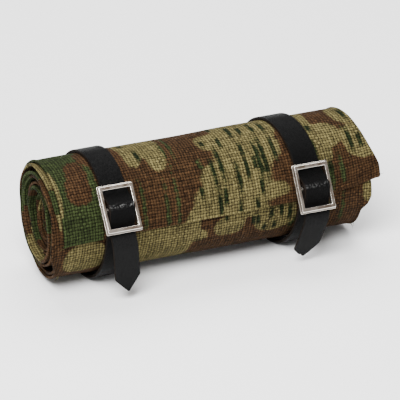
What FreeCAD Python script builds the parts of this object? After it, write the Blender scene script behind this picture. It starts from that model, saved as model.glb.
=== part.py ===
"""Rolled canvas training bumper: a cloth roll held by two buckled leather straps.

Millimetres. +X runs along the roll to its right end, -Y is the front where the buckles are, and +Z
is up. The origin is the middle of the object's footprint, on the surface that it rests on.

Angles round the roll are in degrees, from 0 at its top towards its front: 90 is the front, 180 the
underside. Strips of leather follow a path in the plane across the roll. A path is a list of turns,
each (centre y, centre z, radius, heading in, heading out), joined by their common tangents. The
radius is positive where the path turns left, seen from the +X end, and headings are in degrees
from +Y towards +Z.
"""
import FreeCAD, Part
import math
import os
from FreeCAD import Vector

# Canvas roll
roll_length = 250.0
roll_radius = 46.0
cloth_thickness = 3.2  # the folded sheet, both plies
cloth_gap = 0.2  # between the loose end and the turn below it
turn_pitch = 7.0  # from one inner turn to the next
core_radius = 2.0
loose_end_angle = 90.0
settled_turn = 0.4  # share of the outer turn that keeps the full radius
samples_per_turn = 24

# Leather straps
strap_width = 20.0
strap_thickness = 2.2
strap_clearance = 0.3  # from the canvas
resting_flat = 16.0  # worn flat under each strap, where the roll rests
turned_end_length = 11.0
tail_joint_gap = 0.3
stitch_radius = 0.35
stitch_spacing = 3.2
stitch_count = 5
stitch_setback = 2.0  # from the end of the turned leather

# Slide buckles
window_width = 22.2
window_height = 29.6
side_bar = 3.3
cross_bar = 3.8
frame_depth = 3.8
flange_depth = 1.4
rim_step = 0.8
frame_corner = 1.0
frame_chamfer = 0.5
bar_radius = 1.5
bar_seat = 1.6  # how deep the centre bar's ends sit in the frame
bar_clearance = 0.1  # between the bar and the leather round it
ply_gap = 0.1  # between two layers of leather
rocking_gap = 1.3  # between the frame's cross bars and the leather under them

# Each strap: its middle along the roll, its lean out of square and the angle it leans towards,
# the buckle's angle, its centre bar's height off the canvas, the frame's tilt with its lower end
# out, and the tail's heading, bends (run, radius, new heading), last run, sideways lean and point
# (left and right side).
STRAPS = {
    "left": {
        "x": -82.7, "lean": 2.6, "lean_towards": 18.5,
        "buckle_angle": 64.3, "buckle_height": 6.5, "buckle_tilt": 9.0,
        "tail_heading": 240.0, "tail_bends": [(2.0, 20.0, 270.0)], "tail_end": 31.5,
        "tail_lean": -3.5, "point": (10.8, 13.4),
    },
    "right": {
        "x": 69.5, "lean": 5.6, "lean_towards": 70.0,
        "buckle_angle": 75.4, "buckle_height": 8.0, "buckle_tilt": 15.0,
        "tail_heading": 244.0, "tail_bends": [(0.5, 10.0, 283.0), (0.0, 190.0, 291.8)],
        "tail_end": 0.5, "tail_lean": 16.0, "point": (9.5, 13.0),
    },
}

strap_reach = roll_radius + strap_clearance + strap_thickness
axis_height = math.sqrt(strap_reach ** 2 - (resting_flat / 2) ** 2)
half_leather = strap_thickness / 2
shortest_edge = 1e-4
# Reach of the blocks that only cut or trim others
big = 4 * (roll_radius + roll_length)


def unit(heading):
    """Direction of a heading, in the plane across the roll."""
    return math.cos(math.radians(heading)), math.sin(math.radians(heading))


def round_roll(angle, radius):
    """Point (y, z) at an angle round the roll and a distance from its axis."""
    turn = math.radians(angle)
    return -radius * math.sin(turn), axis_height + radius * math.cos(turn)


def at_heading(turn, heading, offset=0.0):
    """Point of a turn where the path has this heading, moved left of the path by the offset."""
    centre_y, centre_z, radius = turn[:3]
    along_y, along_z = unit(heading)
    reach = radius - offset
    return centre_y + reach * along_z, centre_z - reach * along_y


def belt(pulleys):
    """Turns of a belt led round pulleys (y, z, signed radius), without its first and last ends."""
    headings = []
    for (y1, z1, r1), (y2, z2, r2) in zip(pulleys, pulleys[1:]):
        bearing = math.degrees(math.atan2(z2 - z1, y2 - y1))
        span = math.hypot(y2 - y1, z2 - z1)
        headings.append(bearing - math.degrees(math.asin((r2 - r1) / span)))
    turns = []
    heading = headings[0]
    for pulley, leaving in zip(pulleys[1:], headings[1:]):
        swing = (leaving - heading) % 360.0
        if pulley[2] < 0:
            swing -= 360.0
        turns.append((*pulley, heading, heading + swing))
        heading += swing
    return headings[0], turns, heading


def walk(start, heading, bends, last_run):
    """Turns of a path from a point: straight runs with a bend to a new heading after each."""
    y, z = start
    turns = [(y, z, 0.0, heading, heading)]
    for run, radius, new_heading in bends:
        along_y, along_z = unit(heading)
        centre_y = y + run * along_y - radius * along_z
        centre_z = z + run * along_z + radius * along_y
        turns.append((centre_y, centre_z, radius, heading, new_heading))
        y, z = at_heading(turns[-1], new_heading)
        heading = new_heading
    along_y, along_z = unit(heading)
    turns.append((y + last_run * along_y, z + last_run * along_z, 0.0, heading, heading))
    return turns


def side_edges(turns, offset):
    """Edges of the path moved left by an offset, in order."""
    edges = []
    last = None
    for turn in turns:
        heading_in, heading_out = turn[3:]
        first = Vector(0, *at_heading(turn, heading_in, offset))
        if last is not None and first.distanceToPoint(last) > shortest_edge:
            edges.append(Part.makeLine(last, first))
        last = first
        if heading_in != heading_out:
            middle = Vector(0, *at_heading(turn, (heading_in + heading_out) / 2, offset))
            last = Vector(0, *at_heading(turn, heading_out, offset))
            edges.append(Part.Arc(first, middle, last).toShape())
    return edges


def strip(turns, x):
    """Leather along a path: its section drawn across the roll, made wider than the strap."""
    left = side_edges(turns, half_leather)
    right = side_edges(turns, -half_leather)
    caps = [
        Part.makeLine(left[0].firstVertex().Point, right[0].firstVertex().Point),
        Part.makeLine(left[-1].lastVertex().Point, right[-1].lastVertex().Point),
    ]
    outline = Part.Wire(Part.__sortEdges__(left + right + caps))
    block = Part.Face(outline).extrude(Vector(3 * strap_width, 0, 0))
    block.translate(Vector(x - 1.5 * strap_width, 0, 0))
    return block


def slab(centre, target, lean):
    """Slab as wide as the strap, its normal tilted from +X towards the target by the lean."""
    box = Part.makeBox(strap_width, big, big, Vector(-strap_width / 2, -big / 2, -big / 2))
    box.rotate(Vector(), Vector(1, 0, 0).cross(target), lean)
    box.translate(centre)
    return box


def strap_middle(strap, y, z):
    """Where the middle of a leaning strap is along the roll, at a point across the roll."""
    out_y, out_z = round_roll(strap["lean_towards"], 1.0)
    reach = y * out_y + (z - axis_height) * (out_z - axis_height)
    return strap["x"] + math.tan(math.radians(strap["lean"])) * reach


def layout(strap):
    """Places that a strap, its buckle and its tail share."""
    frame_angle = strap["buckle_angle"] - strap["buckle_tilt"]
    bar = round_roll(strap["buckle_angle"], roll_radius + strap["buckle_height"])
    up_y, up_z = unit(frame_angle)
    arm = (window_height + cross_bar) / 2
    top = (bar[0] + arm * up_y, bar[1] + arm * up_z)
    bottom = (bar[0] - arm * up_y, bar[1] - arm * up_z)
    roll = (0.0, axis_height, roll_radius + strap_clearance + half_leather)
    loop = (*bar, bar_radius + bar_clearance + half_leather)
    over_loop = (*bar, loop[2] + strap_thickness + ply_gap)
    under_bar = frame_depth / 2 + rocking_gap + half_leather
    heading, turns, leaving = belt([loop, roll, (*top, -under_bar), over_loop, (*bottom, -under_bar)])

    closing = math.degrees(math.asin((2 * loop[2] - strap_thickness - ply_gap) / turned_end_length))
    arriving = heading - 180.0 - closing
    wrap = (*loop, arriving, heading)
    start_y, start_z = at_heading(wrap, arriving)
    back_y, back_z = unit(arriving)
    first = (start_y - turned_end_length * back_y, start_z - turned_end_length * back_z)

    tail_heading = strap["tail_heading"]
    below = (*bottom, -under_bar, leaving, tail_heading)
    under_y, under_z = at_heading(below, tail_heading)
    along_y, along_z = unit(tail_heading)
    clear = cross_bar / 2 + rim_step
    last = (under_y + clear * along_y, under_z + clear * along_z)
    hinge_run = clear + tail_joint_gap + half_leather
    hinge = (under_y + hinge_run * along_y, under_z + hinge_run * along_z)
    return {
        "bar": bar,
        "frame_angle": frame_angle,
        "stitch_from": at_heading(wrap, heading),
        "stitch_heading": heading,
        "hinge": hinge,
        "band": [
            (*first, 0.0, arriving, arriving), wrap, *turns, below,
            (*last, 0.0, tail_heading, tail_heading),
        ],
        "tail": walk(hinge, tail_heading, strap["tail_bends"], strap["tail_end"]),
    }


def canvas_roll():
    """The rolled sheet: a spiral band whose outer turn steps down only by the folded cloth."""
    first_drop = cloth_thickness + cloth_gap
    turns = 1.0 + (roll_radius - core_radius - cloth_thickness - first_drop) / turn_pitch
    count = int(round(turns * samples_per_turn))
    outer = []
    inner = []
    for index in range(count + 1):
        turn = index * turns / count
        ramp = min(max((turn - settled_turn) / (1.0 - settled_turn), 0.0), 1.0)
        drop = first_drop * ramp * ramp * (3.0 - 2.0 * ramp) + turn_pitch * max(turn - 1.0, 0.0)
        angle = loose_end_angle - 360.0 * turn
        outer.append(Vector(0, *round_roll(angle, roll_radius - drop)))
        inner.append(Vector(0, *round_roll(angle, roll_radius - drop - cloth_thickness)))
    sides = []
    for points in (outer, inner):
        curve = Part.BSplineCurve()
        curve.interpolate(points)
        sides.append(curve.toShape())
    caps = [Part.makeLine(outer[0], inner[0]), Part.makeLine(outer[-1], inner[-1])]
    band = Part.Face(Part.Wire(Part.__sortEdges__(sides + caps)))
    solid = band.extrude(Vector(roll_length, 0, 0))
    solid.translate(Vector(-roll_length / 2, 0, 0))
    return solid


def strap_band(strap, places):
    """The strap from its turned end, round the roll and through the buckle, as far as the tail."""
    block = strip(places["band"], strap["x"])
    towards = Vector(0, *round_roll(strap["lean_towards"], 1.0)) - Vector(0, 0, axis_height)
    band = block.common(slab(Vector(strap["x"], 0, axis_height), towards.negative(), strap["lean"]))
    return band.cut(Part.makeBox(big, big, big, Vector(-big / 2, -big / 2, -big)))


def strap_tail(strap, places):
    """The free end of the strap: a pointed strip with a round end at its bend line."""
    y, z = places["hinge"]
    x = strap_middle(strap, y, z)
    length = 3 * strap_width
    knuckle = Part.makeCylinder(half_leather, length, Vector(x - length / 2, y, z), Vector(1, 0, 0))
    block = strip(places["tail"], x).fuse(knuckle)
    down = Vector(0, *unit(strap["tail_heading"]))
    tail = block.common(slab(Vector(x, y, z), down, strap["tail_lean"]))
    tip_y, tip_z, _, tip_heading, _ = places["tail"][-1]
    run = math.hypot(tip_y - y, tip_z - z)
    tip = Vector(x - math.tan(math.radians(strap["tail_lean"])) * run, tip_y, tip_z)
    lean = math.radians(strap["tail_lean"])
    along = Vector(-math.sin(lean), *[math.cos(lean) * part for part in unit(tip_heading)])
    normal = Vector(0, *unit(tip_heading + 90.0))
    across = along.cross(normal)
    if across.x < 0:
        across = across.negative()
    left, right = strap["point"]
    corners = [
        tip,
        tip + across * strap_width - along * 2 * right,
        tip + across * strap_width - along * big,
        tip - across * strap_width - along * big,
        tip - across * strap_width - along * 2 * left,
    ]
    keep = Part.Face(Part.makePolygon(corners + corners[:1])).extrude(normal * big)
    keep.translate(normal * (-big / 2))
    return tail.common(keep)


def stitches(strap, places):
    """Threads through both plies of the turned end, in a row across the strap."""
    start_y, start_z = places["stitch_from"]
    along_y, along_z = unit(places["stitch_heading"])
    run = turned_end_length - stitch_setback
    inward = Vector(0, -along_z, along_y)
    middle = Vector(0, start_y + run * along_y, start_z + run * along_z)
    length = 2 * strap_thickness + ply_gap
    threads = []
    for index in range(stitch_count):
        x = strap_middle(strap, middle.y, middle.z) + stitch_spacing * (index - (stitch_count - 1) / 2)
        base = Vector(x, middle.y, middle.z) - inward * half_leather
        threads.append(Part.makeCylinder(stitch_radius, length, base, inward))
    return Part.makeCompound(threads)


def placed_on_buckle(shape, strap, places):
    """Move a shape from the buckle's own axes, with its centre bar along X, to its place."""
    y, z = places["bar"]
    shape.rotate(Vector(), Vector(1, 0, 0), places["frame_angle"])
    shape.translate(Vector(strap_middle(strap, y, z), y, z))
    return shape


def plate(width, height, low, high):
    """Flat block centred on the buckle, between two depths."""
    return Part.makeBox(width, height, high - low, Vector(-width / 2, -height / 2, low))


def edges_at(shape, depth):
    """Edges that lie in the plane at this depth."""
    return [edge for edge in shape.Edges
            if max(abs(edge.BoundBox.ZMin - depth), abs(edge.BoundBox.ZMax - depth)) < shortest_edge]


def upright_edges(shape):
    """Straight edges along the buckle's depth."""
    return [edge for edge in shape.Edges if edge.BoundBox.ZLength > shortest_edge]


def back_relief(back):
    """Wedge-sided cutter that chamfers the cross bars where the leather bends round their backs."""
    half = window_height / 2
    outline = [
        Vector(0, -half - frame_chamfer, back),
        Vector(0, half + frame_chamfer, back),
        Vector(0, half, back + frame_chamfer),
        Vector(0, -half, back + frame_chamfer),
    ]
    cutter = Part.Face(Part.makePolygon(outline + outline[:1])).extrude(Vector(window_width, 0, 0))
    cutter.translate(Vector(-window_width / 2, 0, 0))
    return cutter


def buckle_frame():
    """Plain rectangular frame: a back flange, a narrower raised rim and seats for the bar."""
    width = window_width + 2 * side_bar
    height = window_height + 2 * cross_bar
    back = -frame_depth / 2
    step = back + flange_depth
    flange = plate(width, height, back, step)
    flange = flange.makeFillet(frame_corner, upright_edges(flange))
    rim = plate(width - 2 * rim_step, height - 2 * rim_step, step, frame_depth / 2)
    rim = rim.makeFillet(frame_corner, upright_edges(rim))
    rim = rim.makeChamfer(frame_chamfer, edges_at(rim, frame_depth / 2))
    window = plate(window_width, window_height, back, frame_depth / 2)
    window = window.makeFillet(frame_corner / 2, upright_edges(window))
    return flange.fuse(rim).cut(window).cut(back_relief(back)).cut(centre_bar()).removeSplitter()


def centre_bar():
    """Round bar across the frame, its ends seated in the side bars."""
    length = window_width + 2 * bar_seat
    return Part.makeCylinder(bar_radius, length, Vector(-length / 2, 0, 0), Vector(1, 0, 0))


def build():
    """All the nodes by name, with the places that the joints turn about."""
    shapes = {"canvas_roll": canvas_roll()}
    pivots = {}
    for side, strap in STRAPS.items():
        places = layout(strap)
        shapes[side + "_strap_band"] = strap_band(strap, places)
        shapes[side + "_strap_tail"] = strap_tail(strap, places)
        shapes[side + "_strap_stitches"] = stitches(strap, places)
        shapes[side + "_buckle_frame"] = placed_on_buckle(buckle_frame(), strap, places)
        shapes[side + "_buckle_bar"] = placed_on_buckle(centre_bar(), strap, places)
        pivots[side + "_bar"] = Vector(strap_middle(strap, *places["bar"]), *places["bar"])
        pivots[side + "_bend"] = Vector(strap_middle(strap, *places["hinge"]), *places["hinge"])
        pivots[side + "_rest"] = Vector(strap_middle(strap, 0.0, 0.0), 0, 0)
    return shapes, pivots


def main():
    """Centre the footprint on the origin and write one STEP file for each node."""
    os.makedirs("parts", exist_ok=True)
    shapes, pivots = build()
    bounds = Part.makeCompound(list(shapes.values())).optimalBoundingBox(False)
    to_origin = Vector(-bounds.Center.x, -bounds.Center.y, -bounds.ZMin)
    for name, shape in shapes.items():
        shape.translate(to_origin)
        shape.exportStep("parts/" + name + ".step")
        print(name, "valid", shape.isValid(), "solids", len(shape.Solids), "volume", round(shape.Volume))
    for name, point in pivots.items():
        moved = point + to_origin
        print("pivot", name, round(moved.x, 4), round(moved.y, 4), round(moved.z, 4))
    print("roll_axis", round(to_origin.y, 4), round(axis_height + to_origin.z, 4))


main()
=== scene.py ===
"""Rolled canvas training bumper: camouflage cloth, folded double and rolled, held by two leather straps.

Lengths are in millimetres about the middle of the floor under the roll's axis, and become metres
when a mesh is made. Angles round the roll are in degrees: 0 is its top, 90 its front and 180 its
underside. Headings are in degrees from the back (+Y) towards up (+Z). A path is a list of turns
(centre y, centre z, radius, heading in, heading out), joined by straight runs; the radius is
positive where the path turns left, seen from the right end.
"""
import math

import bpy
import numpy as np
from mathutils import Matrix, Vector


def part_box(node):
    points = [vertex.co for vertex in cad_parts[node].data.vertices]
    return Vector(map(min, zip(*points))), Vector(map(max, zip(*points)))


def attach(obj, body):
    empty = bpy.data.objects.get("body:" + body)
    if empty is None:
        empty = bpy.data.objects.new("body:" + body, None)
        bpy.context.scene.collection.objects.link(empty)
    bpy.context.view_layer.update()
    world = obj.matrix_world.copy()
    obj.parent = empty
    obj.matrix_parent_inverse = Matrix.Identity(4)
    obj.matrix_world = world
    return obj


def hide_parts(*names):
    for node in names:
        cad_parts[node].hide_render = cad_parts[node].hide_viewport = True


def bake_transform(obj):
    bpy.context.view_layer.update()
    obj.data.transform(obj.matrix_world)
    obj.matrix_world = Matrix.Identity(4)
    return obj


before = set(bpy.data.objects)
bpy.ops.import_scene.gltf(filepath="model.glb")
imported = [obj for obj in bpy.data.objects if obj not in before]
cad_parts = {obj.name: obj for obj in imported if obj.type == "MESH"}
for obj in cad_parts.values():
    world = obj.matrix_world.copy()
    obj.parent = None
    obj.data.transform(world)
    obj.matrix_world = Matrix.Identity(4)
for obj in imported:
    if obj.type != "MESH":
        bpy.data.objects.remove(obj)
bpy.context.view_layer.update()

bl_info = {
    "name": "Rolled Canvas Bumper",
    "version": (1, 0, 0),
    "blender": (4, 5, 0),
    "location": "3D View > Sidebar > Bumper",
    "description": "Makes a rolled canvas training bumper with two buckled leather straps",
    "category": "Add Mesh",
}

MM = 1000.0
ROLL_RADIUS = 46.0
ROLL_LOW, ROLL_HIGH = (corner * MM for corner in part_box("canvas_roll"))
AXIS_Y = ROLL_LOW.y + ROLL_RADIUS
AXIS_Z = ROLL_HIGH.z - ROLL_RADIUS
LEFT_END = ROLL_LOW.x

# Rolled sheet. Its outside is the solid part's, and inside it makes fewer turns, wider apart
FOLDED_THICKNESS = 3.2
FIRST_DROP = 3.4
TURN_PITCH = 8.3
CORE_RADIUS = 5.0
SECOND_TURN_SAG = 1.8
INNER_PLY_EXTRA = 0.5  # by which each ply is thicker inside the roll, where it isn't pressed
SETTLED_TURN = 0.52  # turn from which the roll tapers towards the step under the loose end
LOOSE_END = 90.0
TURNS = 1.0 + (ROLL_RADIUS - CORE_RADIUS - FOLDED_THICKNESS - FIRST_DROP - SECOND_TURN_SAG) / TURN_PITCH
FOLD_RADIUS = 0.95
HELD_WIDTH = 15.0  # reach of a strap's pressure on either side of its middle
DEGREE = math.radians(ROLL_RADIUS)  # length of a degree on the outside of the roll

# Divisions of the sheet
ROW_LENGTH = 3.2
CORE_ROW_ANGLE = 15.0
FINE_TURNS = 1.07  # turns of the outer ply that get fine rows and columns
FINE_ROWS = 130
INNER_ROWS = 88  # rows of the inner ply over the same turns
HEM_EDGES = 7  # divisions across a hem
MIDDLE_EDGES = 32  # divisions between the hems
FINER = 5  # fine divisions for each of those

# Leather and buckles, as the solid parts have them
STRAP_WIDTH = 20.0
STRAP_THICKNESS = 2.2
STRAP_CLEARANCE = 0.3
TURNED_END = 11.0
TAIL_GAP = 0.3
STITCH_SPACING = 3.2
STITCH_SETBACK = 2.0
WINDOW = (22.2, 29.6)
BARS = (3.3, 3.8)
FRAME_DEPTH = 3.8
FLANGE_DEPTH = 1.4
RIM_STEP = 0.8
FRAME_CORNER = 1.0
BAR_RADIUS = 1.5
BAR_SEAT = 1.6
BAR_CLEARANCE = 0.1
PLY_GAP = 0.1
ROCKING_GAP = 1.3
HALF_LEATHER = STRAP_THICKNESS / 2
TAIL_GRAIN_START = 400.0  # place of the tail on the leather's grain, past the band's
LIGHTENED_RUN = 7.0  # length over which the tail becomes lighter: painted light on the hanging tail, and partly scuffing

# Each strap's crease strength below sets how light its crease is painted: cracked finish and painted
# highlight glints, stronger on the left.
STRAPS = {
    "left": {
        "x": -82.7, "lean": 2.6, "lean_towards": 18.5,
        "buckle_angle": 64.3, "buckle_height": 6.5, "buckle_tilt": 9.0,
        "tail_heading": 240.0, "tail_bends": [(2.0, 20.0, 270.0)], "tail_end": 31.5,
        "tail_lean": -3.5, "point": (10.8, 13.4), "blunt": (0.9, 1.4), "crackle_glint_strength": 1.0,
    },
    "right": {
        "x": 69.5, "lean": 5.6, "lean_towards": 70.0,
        "buckle_angle": 75.4, "buckle_height": 8.0, "buckle_tilt": 15.0,
        "tail_heading": 244.0, "tail_bends": [(0.5, 10.0, 283.0), (0.0, 190.0, 291.8)],
        "tail_end": 0.5, "tail_lean": 16.0, "point": (9.5, 13.0), "blunt": (1.8, 2.2), "crackle_glint_strength": 0.5,
    },
}

INNER_PLY = 3000.0  # added to the angle where the print on the inner ply is looked up
STROKE_HALF_WIDTH = 1.7
NO_PRINT = -40.0  # field far from any patch

# Print. A patch is a rounded box: (x from, x to, angle from, angle to), x from the roll's left end,
# and patches that meet run together. The cloth under the loose end continues a whole turn back, so
# its angles are 360 lower.
KHAKI_PATCHES = [
    # Two-legged patch between the straps, on top
    (60, 95, -45, 16), (62, 74, 0, 27), (78, 93, 0, 36),
    # Large patch, from the top down: head, ear, chest, waist, skirt with a spike, and hem
    (138, 188, -50, 32), (121, 143, -2, 22), (130, 184, 15, 48), (115, 172, 36, 66),
    (106, 170, 56, 86), (158, 184, 66, 81), (96, 168, 72, 125),
    # Beside the right strap, and the two at the right end
    (198, 216, -45, 32), (205, 234, 12, 43), (206, 223, 32, 58), (234, 256, -22, 18), (234, 266, 20, 58),
    # Under the loose end: left corner, long middle patch, three-lobed patch, right corner
    (2, 37, -266, -223), (56, 112, -300, -234), (60, 106, -262, -204), (100, 118, -256, -241),
    (123, 148, -266, -242), (130, 192, -300, -261), (155, 190, -285, -237), (245, 264, -285, -252),
    # Lip of the left end
    (-4, 3.4, 14, 64),
]
GREEN_PATCHES = [
    (-20, 33.5, -70, 130), (91, 95, -4, 26), (216, 221, 52, 84),
    (64.5, 67.5, 46, 92), (83, 86, 52, 92), (92, 94.6, 44, 92), (99, 101.5, -18, 20),
    (227.6, 230.4, -270, -226), (214, 219, -262, -236), (226, 230, 52, 78), (184, 190, -262, -236),
    (115, 119, 33, 44), (236, 238.5, 22, 50), (205, 209, 60, 84),
]
# Patches of the ground colour, cut out of the green
BROWN_PATCHES = [
    (-12, 34, -277, -264),
    # Gourd on the green corner, and the corner of the brown beside it
    (13, 29, 4, 42), (8, 28, 27, 56), (27, 42, -16, 15),
]
# Dark green strokes: (x of the middle, angle from, angle to)
STROKES = [
    (139, 5, 22), (152, -12, 10), (160, -6, 8), (170, -10, 8), (133, 20, 56), (126, 33, 61),
    (145, 42, 70), (153, 20, 35), (153, 37, 60), (160, 38, 50), (164, 20, 60), (168.5, 18, 60),
    (178, 20, 45), (162, 60, 76), (127, 66, 90), (132, 64, 80), (143, 78, 92), (157, 78, 92),
    (133, -268, -261), (170, -270, -254), (178, -270, -254), (155, -262, -252), (165, -250, -240),
    (173, -250, -240), (73, 4, 20), (67, -22, -8), (126, 9, 16), (244.5, -9, 10), (240, 24, 50),
    (247.5, 33, 48), (211.5, 11, 22), (219, 56, 66), (113, 58, 70), (139.5, -20, -8), (178, -8, 10),
    (159, -262, -248), (185, -268, -250), (207, 14, 62), (209.5, 30, 64), (205, 36, 60),
]
# Print seen on the edges at the ends of the roll: (x from, x to, angle from, angle to), inner ply
LIP_KHAKI = [(-8, 3, -46, 34), (-8, 3, 60, 76), (236, 262, 20, 70)]
LIP_GREEN = [(-8, 3, 34, 60), (-8, 3, -160, -75)]

# Edges of the outer ply along the roll, at turns from the loose end: (turn, left x, right x)
EDGES = np.array([
    (-0.1, 0.0, 258.6), (0.04, 0.0, 258.4), (0.11, 0.0, 253.7), (0.19, 0.0, 250.0), (0.25, 0.0, 248.2),
    (0.31, 0.4, 247.6), (0.5, 1.2, 248.0), (0.75, 0.6, 247.6), (0.86, -2.2, 247.4),
    (0.925, -6.2, 245.6), (0.945, -7.6, 250.0), (0.97, -9.0, 252.2), (1.02, -8.4, 252.2),
    (1.12, -6.4, 250.4), (1.3, -4.2, 249.0), (1.5, -1.4, 248.6), (1.75, -2.4, 249.4),
    (1.95, -4.6, 250.6), (2.2, -2.6, 249.4), (2.5, 0.4, 247.6), (2.8, 1.6, 248.4), (3.0, 0.2, 249.0),
    (3.5, 2.6, 246.6), (4.0, 3.2, 247.4), (4.5, 4.6, 245.4), (5.0, 4.2, 246.0), (5.6, 6.0, 244.6),
    (6.6, 7.0, 244.0),
])
# How far the inner ply's left and right edges lie beyond the outer ply's
INNER_EDGES = np.array([
    (0.0, -0.6, -0.4), (0.05, -2.2, -2.0), (0.1, -3.7, -3.0), (0.22, -3.9, -2.6), (0.36, -2.2, -1.6),
    (0.6, -1.2, -1.6), (1.0, 2.6, -2.2), (1.3, 1.8, 2.0), (1.8, -1.8, 1.6), (2.4, -2.0, -1.6),
    (3.2, 1.6, 1.4), (4.2, -1.6, -1.4), (5.2, 1.4, 1.2), (6.6, 1.0, -1.0),
])
# Turn of the loose end, in degrees, along the roll
LOOSE_LINE = np.array([
    (-10, 2.0), (0, 1.6), (60, -0.6), (150, -1.6), (210, -3.4), (236, -7.0), (252, -11.0), (262, -13.5),
])
# Middle of the view: x along the roll and height
VIEW_MIDDLE = (4.1, 41.4)


def linear(red, green, blue):
    """Display colour from 0 to 255 as the linear colour that shaders use."""
    return tuple(
        part / 3294.6 if part <= 10.31 else ((part / 255.0 + 0.055) / 1.055) ** 2.4
        for part in (red, green, blue)
    )


def colour_property(name, text, shade):
    """Colour setting with its default."""
    return bpy.props.FloatVectorProperty(
        name=name, description=text, default=linear(*shade), size=3, min=0.0, max=1.0, subtype="COLOR"
    )


def length_property(name, text, millimetres):
    """Length setting with its default, in metres."""
    return bpy.props.FloatProperty(
        name=name, description=text, default=millimetres / MM, min=0.0, unit="LENGTH", subtype="DISTANCE",
        precision=5,
    )


def factor_property(name, text, value):
    """Share from 0 to 1 with its default."""
    return bpy.props.FloatProperty(
        name=name, description=text, default=value, min=0.0, max=1.0, subtype="FACTOR"
    )


class CanvasSettings(bpy.types.PropertyGroup):
    """Sizes and colours of the rolled cloth."""

    ply: length_property("Ply", "Thickness of one ply of the canvas", 1.2)
    hem: length_property("Hem Bead", "Extra thickness of the beads along the cloth's edges", 0.7)
    yarn: length_property("Yarn Pitch", "Distance from one yarn to the next in the plain weave", 2.3)
    sag: length_property("Sag", "Depth of the hollows in the rolled cloth", 0.7)
    brown: colour_property("Brown", "Brown of the print", (48, 33, 19))
    khaki: colour_property("Khaki", "Khaki of the print", (80, 73, 45))
    green: colour_property("Green", "Green of the print", (36, 43, 22))
    stroke: colour_property("Dark Green", "Dark green strokes of the print", (20, 27, 12))
    roughness: factor_property("Roughness", "Roughness of the cloth", 0.92)


class LeatherSettings(bpy.types.PropertyGroup):
    """Sizes and colours of the straps."""

    edge: length_property("Edge Rounding", "Rounding of the strap's cut edges", 0.5)
    grain: length_property("Grain", "Size of a grain cell in the leather", 0.9)
    black: colour_property("Black", "Dyed face of the leather", (6, 6, 6))
    raw: colour_property("Raw Edge", "Worn brown of the cut edges", (25, 20, 16))
    roughness: factor_property("Roughness", "Roughness of the leather's face", 0.42)


class MetalSettings(bpy.types.PropertyGroup):
    """Sizes and colours of the buckles and the thread."""

    edge: length_property("Edge Rounding", "Worn rounding of the buckle's edges", 0.32)
    nickel: colour_property("Nickel", "Clean nickel", (246, 238, 226))
    tarnish: colour_property("Tarnish", "Tarnish on the buckle's faces", (92, 80, 70))
    thread: colour_property("Thread", "Waxed thread of the seams", (58, 52, 46))
    roughness: factor_property("Roughness", "Roughness of the clean nickel", 0.19)


class StageSettings(bpy.types.PropertyGroup):
    """Camera, floor and lights."""

    azimuth: bpy.props.FloatProperty(
        name="Azimuth", description="Direction that the camera looks from", default=math.radians(-23.4),
        subtype="ANGLE",
    )
    elevation: bpy.props.FloatProperty(
        name="Elevation", description="Height of the camera over the horizon", default=math.radians(25.0),
        subtype="ANGLE",
    )
    width: length_property("Width", "Width of the view at the roll", 302.0)
    distance: length_property("Distance", "Distance of the camera from the roll", 4200.0)
    floor: colour_property("Floor", "Colour of the floor", (250, 250, 250))
    sky: bpy.props.FloatProperty(
        name="Sky", description="Strength of the even light from all round", default=0.46, min=0.0
    )


# Meshes


def placed(x, y, z):
    """Points in metres, from x along the roll and y, z across it in millimetres."""
    x, y, z = np.broadcast_arrays(x, y, z)
    return np.stack([x, y + AXIS_Y, z], -1).reshape(-1, 3) / MM


def mesh_piece(name, points, faces, fields, material, cad_nodes, body):
    """Object from points and faces, its faces turned outwards, with a value of each field per point.

    The six-fold volume, the sum of a . (b x c) over the triangles, is negative when the faces
    point inwards, and then they are all turned over.
    """
    mesh = bpy.data.meshes.new(name)
    mesh.from_pydata(points.tolist(), [], faces)
    mesh.calc_loop_triangles()
    corners = np.empty(len(mesh.loop_triangles) * 3, dtype=np.int32)
    mesh.loop_triangles.foreach_get("vertices", corners)
    a, b, c = np.moveaxis(points[corners.reshape(-1, 3)], 1, 0)
    if np.sum(a * np.cross(b, c)) < 0.0:
        mesh.flip_normals()
    mesh.polygons.foreach_set("use_smooth", np.ones(len(mesh.polygons), dtype=bool))
    for key, values in fields.items():
        kind = "FLOAT_VECTOR" if np.ndim(values) > 1 else "FLOAT"
        layer = mesh.attributes.new(key, kind, "POINT")
        layer.data.foreach_set("vector" if kind == "FLOAT_VECTOR" else "value",
                               np.asarray(values, dtype=np.float32).ravel())
    mesh.materials.append(material)
    mesh.update()
    piece = bpy.data.objects.new(name, mesh)
    bpy.context.scene.collection.objects.link(piece)
    if cad_nodes:
        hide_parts(*cad_nodes)
    if body:
        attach(piece, body)
    return piece


def grid_faces(rows, columns, first=0, wrap_rows=False):
    """Squares of a grid whose columns close on themselves."""
    row = np.arange(rows if wrap_rows else rows - 1)[:, None]
    column = np.arange(columns)[None, :]
    following = (column + 1) % columns
    below = (row + 1) % rows
    corners = [row * columns + column, row * columns + following,
               below * columns + following, below * columns + column]
    return (np.stack(np.broadcast_arrays(*corners), -1).reshape(-1, 4) + first).tolist()


def closed_tube(rows, columns):
    """Faces of a tube with a flat face over each end."""
    last = (rows - 1) * columns
    ends = [list(range(columns))[::-1], list(range(last, last + columns))]
    return grid_faces(rows, columns) + ends


def smooth_step(value):
    """0 below 0, 1 above 1, and 3t^2 - 2t^3 between."""
    share = np.clip(value, 0.0, 1.0)
    return share * share * (3.0 - 2.0 * share)


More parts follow.
